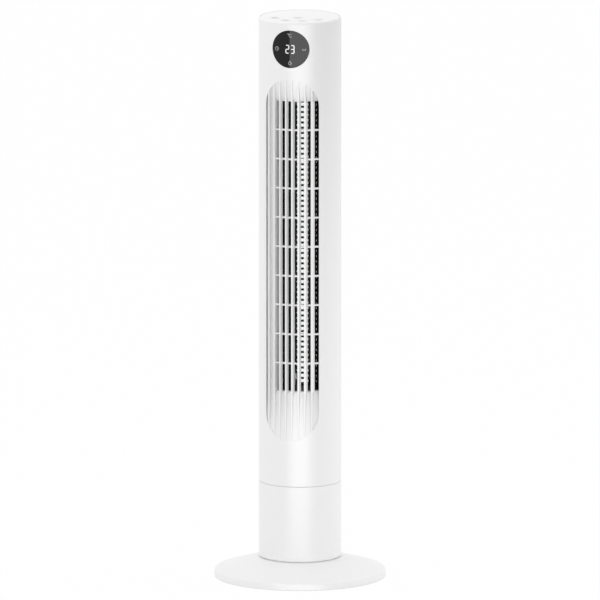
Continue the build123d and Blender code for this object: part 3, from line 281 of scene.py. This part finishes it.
class TOWERFAN_OT_impeller(bpy.types.Operator):
    """Finish the clear cross-flow impeller"""

    bl_idname = "tower_fan.impeller"
    bl_label = "Impeller"

    def execute(self, context):
        colours = context.scene.tower_fan_colours
        # Styrene-acrylonitrile with a pale smoke: thin blades let the inlet show through and catch glints.
        clear_resin = finish(
            "Clear moulded styrene acrylonitrile",
            shades(colours.impeller, -0.03),
            (0.12, 0.2),
            grain_mm=6.0,
            relief_mm=0.004,
            **{"IOR": 1.57, "Alpha": 0.025},
        )
        dress(["impeller"], clear_resin)
        return {"FINISHED"}


class TOWERFAN_OT_swing_drive(bpy.types.Operator):
    """Finish the turntable, its retaining plate, the glide ring and the pinion"""

    bl_idname = "tower_fan.swing_drive"
    bl_label = "Swing drive"

    def execute(self, context):
        # Natural acetal: milky white, waxy and slightly yellow.
        acetal = finish(
            "Natural acetal",
            shades(linear("e4e1d8"), -0.03),
            (0.34, 0.44),
            grain_mm=4.0,
            relief_mm=0.004,
            **{"IOR": 1.48, "Subsurface Weight": 0.1, "Subsurface Scale": 0.002},
        )
        dress(["turntable", "retaining_plate", "glide_ring", "swing_pinion"], acetal)
        return {"FINISHED"}


class TOWERFAN_OT_motor(bpy.types.Operator):
    """Finish the fan motor's stack, windings, bushes and shafts"""

    bl_idname = "tower_fan.motor"
    bl_label = "Motor"

    def execute(self, context):
        # Stacked sheet steel: dark grey with the edges of half-millimetre sheets.
        laminations = finish(
            "Stacked lamination steel",
            shades(linear("68696c"), 0.25),
            (0.38, 0.55),
            grain_mm=3.0,
            relief_mm=0.05,
            layer_mm=0.5,
            **{"Metallic": 1.0},
        )
        dress(["motor_stator", "motor_rotor"], laminations)
        # Enamelled copper wire wound in layers: warm, banded, with the gloss of its lacquer.
        copper = finish(
            "Enamelled copper wire",
            shades(linear("a85a2c"), 0.35),
            (0.28, 0.4),
            grain_mm=2.0,
            relief_mm=0.2,
            layer_mm=0.8,
            **{"Metallic": 1.0, "Coat Weight": 0.6, "Coat Roughness": 0.2},
        )
        dress(["motor_windings"], copper)
        # Sintered bronze: dull brown gold, finely porous and oily.
        bronze = finish(
            "Sintered bronze",
            shades(linear("a0743e"), -0.25),
            (0.4, 0.58),
            grain_mm=0.6,
            relief_mm=0.03,
            **{"Metallic": 1.0},
        )
        dress(["motor_bushes", "bearing_bush"], bronze)
        # Ground bar: fine rings round the shaft.
        ground_steel = finish(
            "Ground steel bar",
            shades(linear("b6b6b5"), -0.1),
            (0.16, 0.3),
            grain_mm=1.0,
            relief_mm=0.002,
            stretch=(0.05, 0.05, 1),
            **{"Metallic": 1.0},
        )
        dress(["motor_shaft", "impeller_pin", "swing_motor_shaft"], ground_steel)
        return {"FINISHED"}


class TOWERFAN_OT_fasteners(bpy.types.Operator):
    """Finish the plated screws and pressed cans"""

    bl_idname = "tower_fan.fasteners"
    bl_label = "Fasteners"

    def execute(self, context):
        # Zinc plate over pressed steel: bright bluish grey with a faint spangle.
        zinc = finish(
            "Zinc plated steel",
            shades(linear("c2c5c9"), -0.12),
            (0.24, 0.4),
            grain_mm=1.5,
            relief_mm=0.006,
            **{"Metallic": 1.0},
        )
        dress([name for name in nodes if name.endswith("screws") or name == "set_screw"], zinc)
        dress(["swing_motor", "motor_upper_bell", "motor_lower_bell"], zinc)
        return {"FINISHED"}


class TOWERFAN_OT_rubber(bpy.types.Operator):
    """Finish the feet, lead gland, bearing holder and motor grommets"""

    bl_idname = "tower_fan.rubber"
    bl_label = "Rubber"

    def execute(self, context):
        colours = context.scene.tower_fan_colours
        # Moulded nitrile rubber: dull black with a slight bloom.
        rubber = finish(
            "Moulded nitrile rubber",
            shades(colours.rubber, 0.5),
            (0.72, 0.9),
            grain_mm=2.0,
            relief_mm=0.02,
            **{"IOR": 1.52},
        )
        dress(["rubber_feet", "cord_gland", "bearing_holder", "motor_grommets"], rubber)
        return {"FINISHED"}


class TOWERFAN_OT_boards(bpy.types.Operator):
    """Finish the circuit boards"""

    bl_idname = "tower_fan.boards"
    bl_label = "Circuit boards"

    def execute(self, context):
        # Solder mask over woven glass: glossy green, lighter where copper lies under it.
        board = finish(
            "Solder mask on glass epoxy",
            shades(linear("1d5630"), 0.5),
            (0.25, 0.38),
            grain_mm=3.0,
            relief_mm=0.03,
            **{"IOR": 1.5, "Coat Weight": 0.4, "Coat Roughness": 0.15},
        )
        dress(["power_board", "control_board", "display_board"], board)
        return {"FINISHED"}


def straight(start, end, steps=10):
    """Points along a straight line between two (across, up) places."""
    return [Vector(start).lerp(Vector(end), k / steps) for k in range(steps + 1)]


def arc(centre, radius, start, end, steps=28):
    """Points along an arc, in degrees from the right, turning left."""
    turns = [radians(start + (end - start) * k / steps) for k in range(steps + 1)]
    return [Vector((centre[0] + radius * cos(turn), centre[1] + radius * sin(turn))) for turn in turns]


def lay_stroke(bm, path, width, place):
    """Lay a flat band with round ends along a path of (across, up) points."""
    half = width / 2
    sides = []
    for k, point in enumerate(path):
        along = (path[min(k + 1, len(path) - 1)] - path[max(k - 1, 0)]).normalized()
        out = Vector((-along.y, along.x)) * half
        sides.append((point + out, point - out, along * half))
    verts = [(bm.verts.new(place(a)), bm.verts.new(place(b))) for a, b, _ in sides]
    for (a, b), (c, d) in zip(verts, verts[1:]):
        bm.faces.new((a, b, d, c))
    for end, way in ((0, -1), (len(path) - 1, 1)):
        out = sides[end][0] - path[end]
        tip = sides[end][2] * way
        turns = [pi * k / ROUND_STEPS for k in range(1, ROUND_STEPS)]
        round_end = [path[end] + out * cos(turn) + tip * sin(turn) for turn in turns]
        ring = [verts[end][0], *[bm.verts.new(place(point)) for point in round_end], verts[end][1]]
        bm.faces.new(ring if way < 0 else ring[::-1])


def sign_piece(name, strokes, width, place, depth, material, body):
    """Thin printed or lit piece made of strokes, riding on a body."""
    bm = bmesh.new()
    for path in strokes:
        lay_stroke(bm, path, width, place)
    bmesh.ops.recalc_face_normals(bm, faces=bm.faces)
    bmesh.ops.solidify(bm, geom=bm.faces[:], thickness=depth)
    bmesh.ops.recalc_face_normals(bm, faces=bm.faces)
    mesh = bpy.data.meshes.new(name)
    bm.to_mesh(mesh)
    bm.free()
    mesh.materials.append(material)
    piece = bpy.data.objects.new(name, mesh)
    bpy.context.scene.collection.objects.link(piece)
    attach(piece, body)


# Strokes of a seven-part digit as (start, end) corners of a box two units tall and one wide
DIGIT_STROKES = {
    "top": ((0, 2), (1, 2)),
    "upper_right": ((1, 2), (1, 1)),
    "middle": ((0, 1), (1, 1)),
    "lower_right": ((1, 1), (1, 0)),
    "lower_left": ((0, 1), (0, 0)),
    "bottom": ((0, 0), (1, 0)),
}
DIGITS = {
    "two": ("top", "upper_right", "middle", "lower_left", "bottom"),
    "three": ("top", "upper_right", "middle", "lower_right", "bottom"),
}


def clock_sign(size):
    """Ring with two hands."""
    half = size / 2
    return [
        arc((0, 0), half, 0, 360),
        straight((0, 0), (0, 0.55 * half)),
        straight((0, 0), (0.45 * half, 0)),
    ]


def power_sign(size):
    """Open ring with an upright bar in its gap."""
    half = size / 2
    return [arc((0, 0), half, 130, 410), straight((0, 0.1 * half), (0, 1.1 * half))]


def timer_sign(size):
    """Ring with one hand and a push knob."""
    half = size / 2
    return [
        arc((0, -0.15 * half), 0.85 * half, 0, 360),
        straight((0, -0.15 * half), (0.35 * half, 0.2 * half)),
        straight((-0.3 * half, half), (0.3 * half, half)),
    ]


def swing_sign(size):
    """Shallow sweep with a barb at each end."""
    half = size / 2
    dip = 20
    strokes = [arc((0, 0.5 * half), half, 180 + dip, 360 - dip)]
    for way in (-1, 1):
        tip = Vector((way * half * cos(radians(dip)), 0.5 * half - half * sin(radians(dip))))
        strokes.append(straight(tip, tip + Vector((-way * 0.45 * half, 0.05 * half))))
    return strokes


def wind_sign(size):
    """Three wavy lines."""
    half = size / 2
    steps, waves = 24, 1.5
    return [
        [
            Vector(
                (half * (2 * k / steps - 1), 0.6 * half * row + 0.18 * half * sin(tau * waves * k / steps))
            )
            for k in range(steps + 1)
        ]
        for row in (-1, 0, 1)
    ]


def speed_sign(size):
    """Three bars of rising height."""
    half = size / 2
    return [straight((0.7 * half * k, -half), (0.7 * half * k, half * (0.55 * k + 0.2))) for k in (-1, 0, 1)]


def degree_sign(size):
    """Small ring beside a letter C."""
    half = size / 2
    return [
        arc((-0.95 * half, 0.75 * half), 0.24 * half, 0, 360),
        arc((0.35 * half, 0), 0.85 * half, 50, 310),
    ]


def moved(strokes, across, up):
    """Strokes shifted by a distance."""
    return [[point + Vector((across, up)) for point in path] for path in strokes]


class TOWERFAN_OT_display(bpy.types.Operator):
    """Finish the display lens and set its lit digits and signs on its curve"""

    bl_idname = "tower_fan.display"
    bl_label = "Display"

    def execute(self, context):
        colours = context.scene.tower_fan_colours
        sizes = context.scene.tower_fan_sizes
        # Smoked acrylic with a polished face: deep black that mirrors the studio.
        acrylic = finish(
            "Polished smoked acrylic",
            shades(colours.lens, 0.3),
            (0.02, 0.045),
            grain_mm=9.0,
            relief_mm=0.001,
            **{"IOR": 1.49, "Specular IOR Level": 0.3},
        )
        dress(["display_lens"], acrylic)
        # Light-guide polycarbonate lit from behind: an even, slightly cloudy glow.
        lit = finish(
            "Lit milky polycarbonate",
            shades(linear("c9cbcc"), -0.08),
            (0.3, 0.4),
            grain_mm=1.5,
            relief_mm=0.002,
            **{"IOR": 1.58, "Emission Color": rgba(colours.lit_sign), "Emission Strength": 0.35},
        )
        dress(["display_module"], lit)
        # The same resin under a denser smoke, so that the small signs glow less than the digits.
        dim = finish(
            "Dimly lit polycarbonate",
            shades(colours.dim_sign, -0.08),
            (0.3, 0.4),
            grain_mm=1.5,
            relief_mm=0.002,
            **{"IOR": 1.58, "Emission Color": rgba(colours.dim_sign), "Emission Strength": 0.1},
        )
        low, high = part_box("display_lens")
        radius = -low.y
        middle = (low.z + high.z) / 2

        def on_lens(point):
            depth = (radius**2 - point.x**2) ** 0.5 + sizes.print_depth / 2
            return Vector((point.x, -depth, middle + point.y))

        digits = []
        for side, name in ((-1, "two"), (1, "three")):
            corner = Vector((side * sizes.digit_pitch / 2 - sizes.digit_width / 2, -sizes.digit_height / 2))
            for part in DIGITS[name]:
                ends = [
                    corner + Vector((end[0] * sizes.digit_width, end[1] * sizes.digit_height / 2))
                    for end in DIGIT_STROKES[part]
                ]
                along = (ends[1] - ends[0]).normalized() * (sizes.digit_gap + sizes.digit_stroke) / 2
                digits.append(straight(ends[0] + along, ends[1] - along))
        sign_piece(
            "display_digits",
            digits,
            sizes.digit_stroke,
            on_lens,
            sizes.print_depth,
            lit,
            "tower",
        )
        signs = (
            moved(degree_sign(sizes.sign_size), 0, sizes.sign_reach)
            + moved(clock_sign(sizes.sign_size), -sizes.sign_reach, 0)
            + moved(swing_sign(sizes.sign_size), sizes.sign_reach, 0)
            + moved(timer_sign(sizes.sign_size), 0, -sizes.sign_reach)
        )
        sign_piece(
            "display_signs",
            signs,
            sizes.sign_stroke,
            on_lens,
            sizes.print_depth,
            dim,
            "tower",
        )
        return {"FINISHED"}


BUTTON_SIGNS = {
    "button_power": power_sign,
    "button_timer": clock_sign,
    "button_mode": wind_sign,
    "button_swing": swing_sign,
    "button_speed": speed_sign,
}


class TOWERFAN_OT_buttons(bpy.types.Operator):
    """Finish the push buttons and print a sign on each"""

    bl_idname = "tower_fan.buttons"
    bl_label = "Buttons"

    def execute(self, context):
        colours = context.scene.tower_fan_colours
        sizes = context.scene.tower_fan_sizes
        # ABS from a smoother tool than the shells: pale grey with a softer gloss.
        button_abs = finish(
            "Pale grey moulded ABS",
            shades(colours.button, -0.02),
            (0.36, 0.46),
            grain_mm=2.5,
            relief_mm=0.004,
            edge=sizes.edge_round,
            **{"IOR": 1.53, "Specular IOR Level": 0.4},
        )
        dress(BUTTON_SIGNS, button_abs)
        # Pad-printed ink: flat grey, thin, a little uneven.
        ink = finish(
            "Pad printed grey ink",
            shades(colours.printed_sign, -0.08),
            (0.5, 0.6),
            grain_mm=0.8,
            relief_mm=0.002,
            **{"IOR": 1.5},
        )
        for button, sign in BUTTON_SIGNS.items():
            low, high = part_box(button)
            middle = (low + high) / 2

            def on_button(point):
                return Vector((middle.x + point.x, middle.y + point.y, high.z))

            sign_piece(
                button.replace("button", "sign"),
                sign(sizes.button_sign_size),
                sizes.button_sign_stroke,
                on_button,
                sizes.print_depth,
                ink,
                button,
            )
        return {"FINISHED"}


def softbox(name, size, radiance):
    """Rectangular lamp of an even brightness, kept out of the camera's sight."""
    light = bpy.data.lights.new(name, "AREA")
    light.shape = "RECTANGLE"
    light.size, light.size_y = size
    light.energy = radiance * pi * size[0] * size[1]
    lamp = bpy.data.objects.new(name, light)
    lamp.visible_camera = False
    bpy.context.scene.collection.objects.link(lamp)
    return lamp


class TOWERFAN_OT_studio(bpy.types.Operator):
    """Set the floor, room light, flag, softboxes and camera"""

    bl_idname = "tower_fan.studio"
    bl_label = "Studio"

    def execute(self, context):
        scene = context.scene
        colours = scene.tower_fan_colours
        sizes = scene.tower_fan_sizes
        scene.view_settings.view_transform = "Standard"

        world = bpy.data.worlds.new("White room")
        world.use_nodes = True
        world.node_tree.nodes.clear()
        sky = add_node(
            world.node_tree, "ShaderNodeBackground", {"Color": rgba((1, 1, 1)), "Strength": sizes.ambient}
        ).outputs["Background"]
        add_node(world.node_tree, "ShaderNodeOutputWorld", {"Surface": sky})
        scene.world = world

        bm = bmesh.new()
        bmesh.ops.create_circle(bm, cap_ends=True, segments=FLOOR_SIDES, radius=sizes.floor_radius)
        mesh = bpy.data.meshes.new("studio_floor")
        bm.to_mesh(mesh)
        bm.free()
        # Seamless white paper. Seen directly it is white, and the close shadow under the base is painted
        # into that white glow by an occlusion test; only a faint share of its shadow is cast by the lamps.
        paper = bpy.data.materials.new("Seamless paper")
        paper.use_nodes = True
        tree = paper.node_tree
        tree.nodes.clear()
        lit = add_node(tree, "ShaderNodeBsdfDiffuse", {"Color": rgba(colours.floor)}).outputs["BSDF"]
        # Painted shadow: the glow that the camera sees is dimmed wherever the base comes near the floor.
        painted_close_shadow = add_node(
            tree, "ShaderNodeAmbientOcclusion", {"Distance": sizes.contact_reach}, samples=8
        ).outputs["AO"]
        white = add_node(tree, "ShaderNodeEmission", {"Color": rgba((1, 1, 1)), "Strength": painted_close_shadow}).outputs[0]
        rays = add_node(tree, "ShaderNodeLightPath").outputs
        seen = add_node(
            tree, "ShaderNodeMath", {0: rays["Is Camera Ray"], 1: rays["Is Glossy Ray"]}, operation="MAXIMUM"
        ).outputs[0]
        seen = add_node(
            tree, "ShaderNodeMath", {0: seen, 1: rays["Is Transmission Ray"]}, operation="MAXIMUM"
        ).outputs[0]
        share = add_node(
            tree, "ShaderNodeMath", {0: seen, 1: sizes.floor_glow}, operation="MULTIPLY"
        ).outputs[0]
        mixed = add_node(tree, "ShaderNodeMixShader", {0: share, 1: lit, 2: white}).outputs[0]
        add_node(tree, "ShaderNodeOutputMaterial", {"Surface": mixed})
        mesh.materials.append(paper)
        floor = bpy.data.objects.new("studio_floor", mesh)
        floor.location.z = -sizes.floor_drop
        scene.collection.objects.link(floor)

        turn, rise = sizes.camera_azimuth, sizes.camera_elevation
        front = Vector((sin(turn), -cos(turn), 0))
        side = Vector((cos(turn), sin(turn), 0))
        # Flag that keeps some of the room's light off the right of the display.
        corners = [
            side * sizes.flag_distance
            + front * (sizes.flag_advance + across)
            + Vector((0, 0, sizes.flag_lift + up))
            for across, up in (
                (-sizes.flag_width / 2, 0),
                (sizes.flag_width / 2, 0),
                (sizes.flag_width / 2, sizes.flag_height),
                (-sizes.flag_width / 2, sizes.flag_height),
            )
        ]
        mesh = bpy.data.meshes.new("studio_flag")
        mesh.from_pydata(corners, [], [(0, 1, 2, 3)])
        # Wool felt: dead matt, with a coarse nap.
        felt = finish("Grey felt", shades(colours.flag, 0.2), (0.9, 1.0), grain_mm=4.0, relief_mm=0.1)
        mesh.materials.append(felt)
        flag = bpy.data.objects.new("studio_flag", mesh)
        flag.visible_camera = False
        flag.visible_glossy = False
        scene.collection.objects.link(flag)
        # The front softbox draws the bright band down the column, the one overhead lifts the level faces,
        # and the one on the right lifts the column's far edge.
        lamp = softbox("front_softbox", (sizes.softbox_width, sizes.softbox_height), sizes.softbox_radiance)
        lamp.location = front * sizes.softbox_distance + Vector((0, 0, sizes.softbox_height / 2))
        lamp.rotation_euler = front.to_track_quat("Z", "Y").to_euler()
        lamp.visible_diffuse = False
        overhead_size = (sizes.overhead_width, sizes.overhead_width)
        lamp = softbox("overhead_softbox", overhead_size, sizes.overhead_radiance)
        lamp.location = Vector((-sizes.overhead_offset, 0, sizes.overhead_height))
        lamp.rotation_euler = lamp.location.to_track_quat("Z", "Y").to_euler()
        lamp.visible_glossy = False
        lamp = softbox("side_softbox", (sizes.side_width, sizes.side_height), sizes.side_radiance)
        away = side * sizes.side_distance - front * sizes.side_retreat
        lamp.location = away + Vector((0, 0, sizes.side_height / 2))
        lamp.rotation_euler = away.to_track_quat("Z", "Y").to_euler()
        lamp.visible_glossy = False

        camera = bpy.data.cameras.new("Studio camera")
        camera.lens = camera.sensor_width * sizes.camera_distance / sizes.camera_frame
        camera.clip_end = 4 * sizes.camera_distance
        view = bpy.data.objects.new("studio_camera", camera)
        back = Vector((sin(turn) * cos(rise), -cos(turn) * cos(rise), sin(rise)))
        view.location = back * sizes.camera_distance + Vector((0, 0, sizes.camera_aim))
        view.rotation_euler = back.to_track_quat("Z", "Y").to_euler()
        scene.collection.objects.link(view)
        scene.camera = view
        return {"FINISHED"}


STEPS = (
    "shells",
    "ducts",
    "impeller",
    "swing_drive",
    "motor",
    "fasteners",
    "rubber",
    "boards",
    "display",
    "buttons",
    "studio",
)


class TOWERFAN_PT_build(bpy.types.Panel):
    """Sidebar list of the fan's building steps"""

    bl_idname = "TOWERFAN_PT_build"
    bl_label = "Tower Fan"
    bl_space_type = "VIEW_3D"
    bl_region_type = "UI"
    bl_category = "Tower Fan"

    def draw(self, context):
        for group in (context.scene.tower_fan_sizes, context.scene.tower_fan_colours):
            box = self.layout.box()
            for name in group.__annotations__:
                box.prop(group, name)
        for step in STEPS:
            self.layout.operator("tower_fan." + step)


CLASSES = (
    TowerFanSizes,
    TowerFanColours,
    TOWERFAN_OT_shells,
    TOWERFAN_OT_ducts,
    TOWERFAN_OT_impeller,
    TOWERFAN_OT_swing_drive,
    TOWERFAN_OT_motor,
    TOWERFAN_OT_fasteners,
    TOWERFAN_OT_rubber,
    TOWERFAN_OT_boards,
    TOWERFAN_OT_display,
    TOWERFAN_OT_buttons,
    TOWERFAN_OT_studio,
    TOWERFAN_PT_build,
)


def register():
    """Add the fan's classes and settings to Blender."""
    for cls in CLASSES:
        bpy.utils.register_class(cls)
    bpy.types.Scene.tower_fan_sizes = bpy.props.PointerProperty(type=TowerFanSizes)
    bpy.types.Scene.tower_fan_colours = bpy.props.PointerProperty(type=TowerFanColours)


def unregister():
    """Take the fan's classes and settings out of Blender."""
    del bpy.types.Scene.tower_fan_colours
    del bpy.types.Scene.tower_fan_sizes
    for cls in reversed(CLASSES):
        bpy.utils.unregister_class(cls)


def main():
    """Add the fan's classes and settings, then build everything in order."""
    register()
    for step in STEPS:
        getattr(bpy.ops.tower_fan, step)()


if __name__ == "__main__":
    main()
